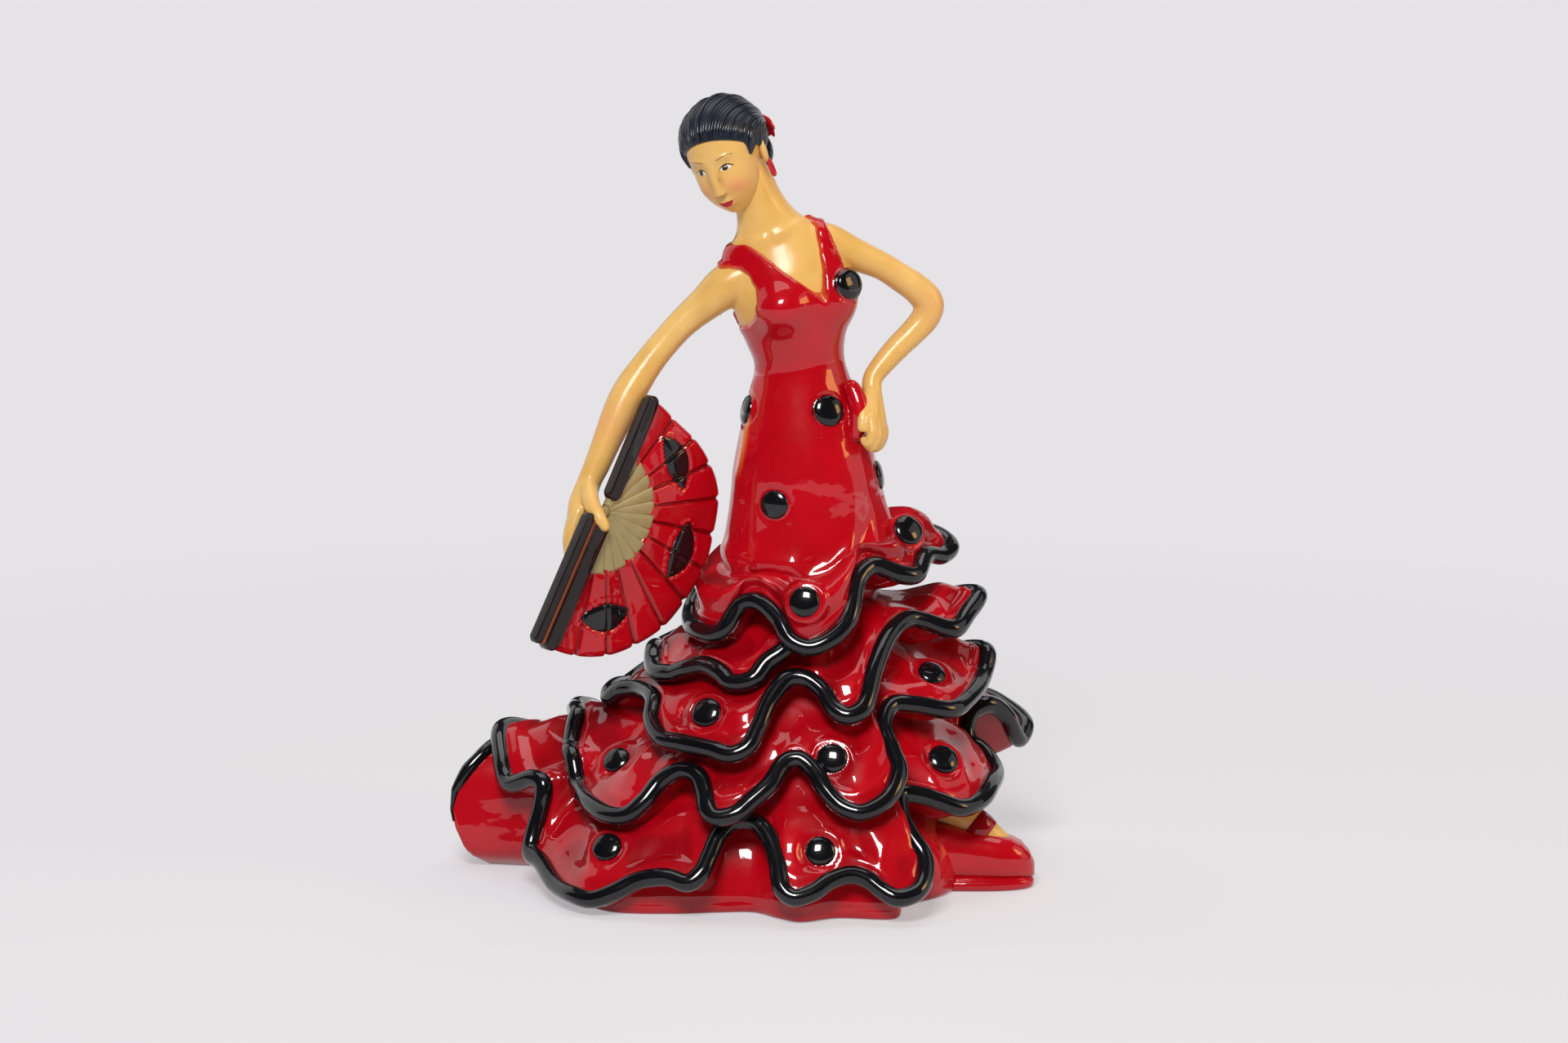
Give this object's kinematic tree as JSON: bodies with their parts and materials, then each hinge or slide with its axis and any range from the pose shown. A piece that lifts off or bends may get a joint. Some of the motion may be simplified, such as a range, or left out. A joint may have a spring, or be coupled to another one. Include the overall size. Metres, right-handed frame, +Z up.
{
  "type": "souvenir figurine",
  "caption": "Standing dancer figurine in a flounced dotted dress with a train, one fist on the hip and an open fan in the other hand.",
  "frame": {"origin": "middle of the whole figure's outline, on the surface that it stands on", "axes": "+Z up, the figure looks toward -Y, the train lies toward -X"},
  "size_m": [0.1178, 0.0916, 0.1588],
  "materials": {
    "red_lacquer": "glossy lacquer over red paint on cast resin",
    "black_lacquer": "glossy lacquer over black paint",
    "skin_lacquer": "glossy lacquer over warm skin paint",
    "hair_lacquer": "glossy lacquer over blue-black paint",
    "stick_lacquer": "glossy lacquer over khaki paint",
    "guard_lacquer": "glossy lacquer over dark brown paint",
    "pin_steel": "plain drawn wire"
  },
  "bodies": {
    "root": {"underskirt": "red_lacquer", "flounce_bottom": "red_lacquer", "flounce_third": "red_lacquer", "flounce_second": "red_lacquer", "flounce_side": "red_lacquer", "flounce_top": "red_lacquer", "hem_bead_train": "black_lacquer", "hem_bead_bottom": "black_lacquer", "hem_bead_third": "black_lacquer", "hem_bead_second": "black_lacquer", "hem_bead_side": "black_lacquer", "hem_bead_top": "black_lacquer", "dress": "red_lacquer", "chest_and_neck": "skin_lacquer", "head": "skin_lacquer", "hair": "hair_lacquer", "hair_bun": "hair_lacquer", "hair_flower": "red_lacquer", "earring_left": "red_lacquer", "earring_right": "red_lacquer", "arm_right": "skin_lacquer", "arm_left": "skin_lacquer", "fan_leaf": "red_lacquer", "fan_sticks": "stick_lacquer", "fan_guard_upper": "guard_lacquer", "fan_guard_lower": "guard_lacquer", "fan_spot_1": "black_lacquer", "fan_spot_2": "black_lacquer", "fan_spot_3": "black_lacquer", "fan_rivet": "pin_steel", "shoe": "red_lacquer", "foot": "skin_lacquer", "shoe_strap": "red_lacquer", "dot_01": "black_lacquer", "dot_02": "black_lacquer", "dot_03": "black_lacquer", "dot_04": "black_lacquer", "dot_05": "black_lacquer", "dot_06": "black_lacquer", "dot_07": "black_lacquer", "dot_08": "black_lacquer", "dot_09": "black_lacquer", "dot_10": "black_lacquer", "dot_11": "black_lacquer", "dot_12": "black_lacquer", "dot_13": "black_lacquer", "dot_14": "black_lacquer", "dot_15": "black_lacquer", "dot_16": "black_lacquer", "dot_17": "black_lacquer", "dot_18": "black_lacquer", "dot_19": "black_lacquer", "dot_20": "black_lacquer", "dot_21": "black_lacquer", "dot_22": "black_lacquer", "dot_23": "black_lacquer", "neck_pin": "pin_steel", "shoulder_pin_right": "pin_steel", "shoulder_pin_left": "pin_steel"}
  },
  "joints": []
}
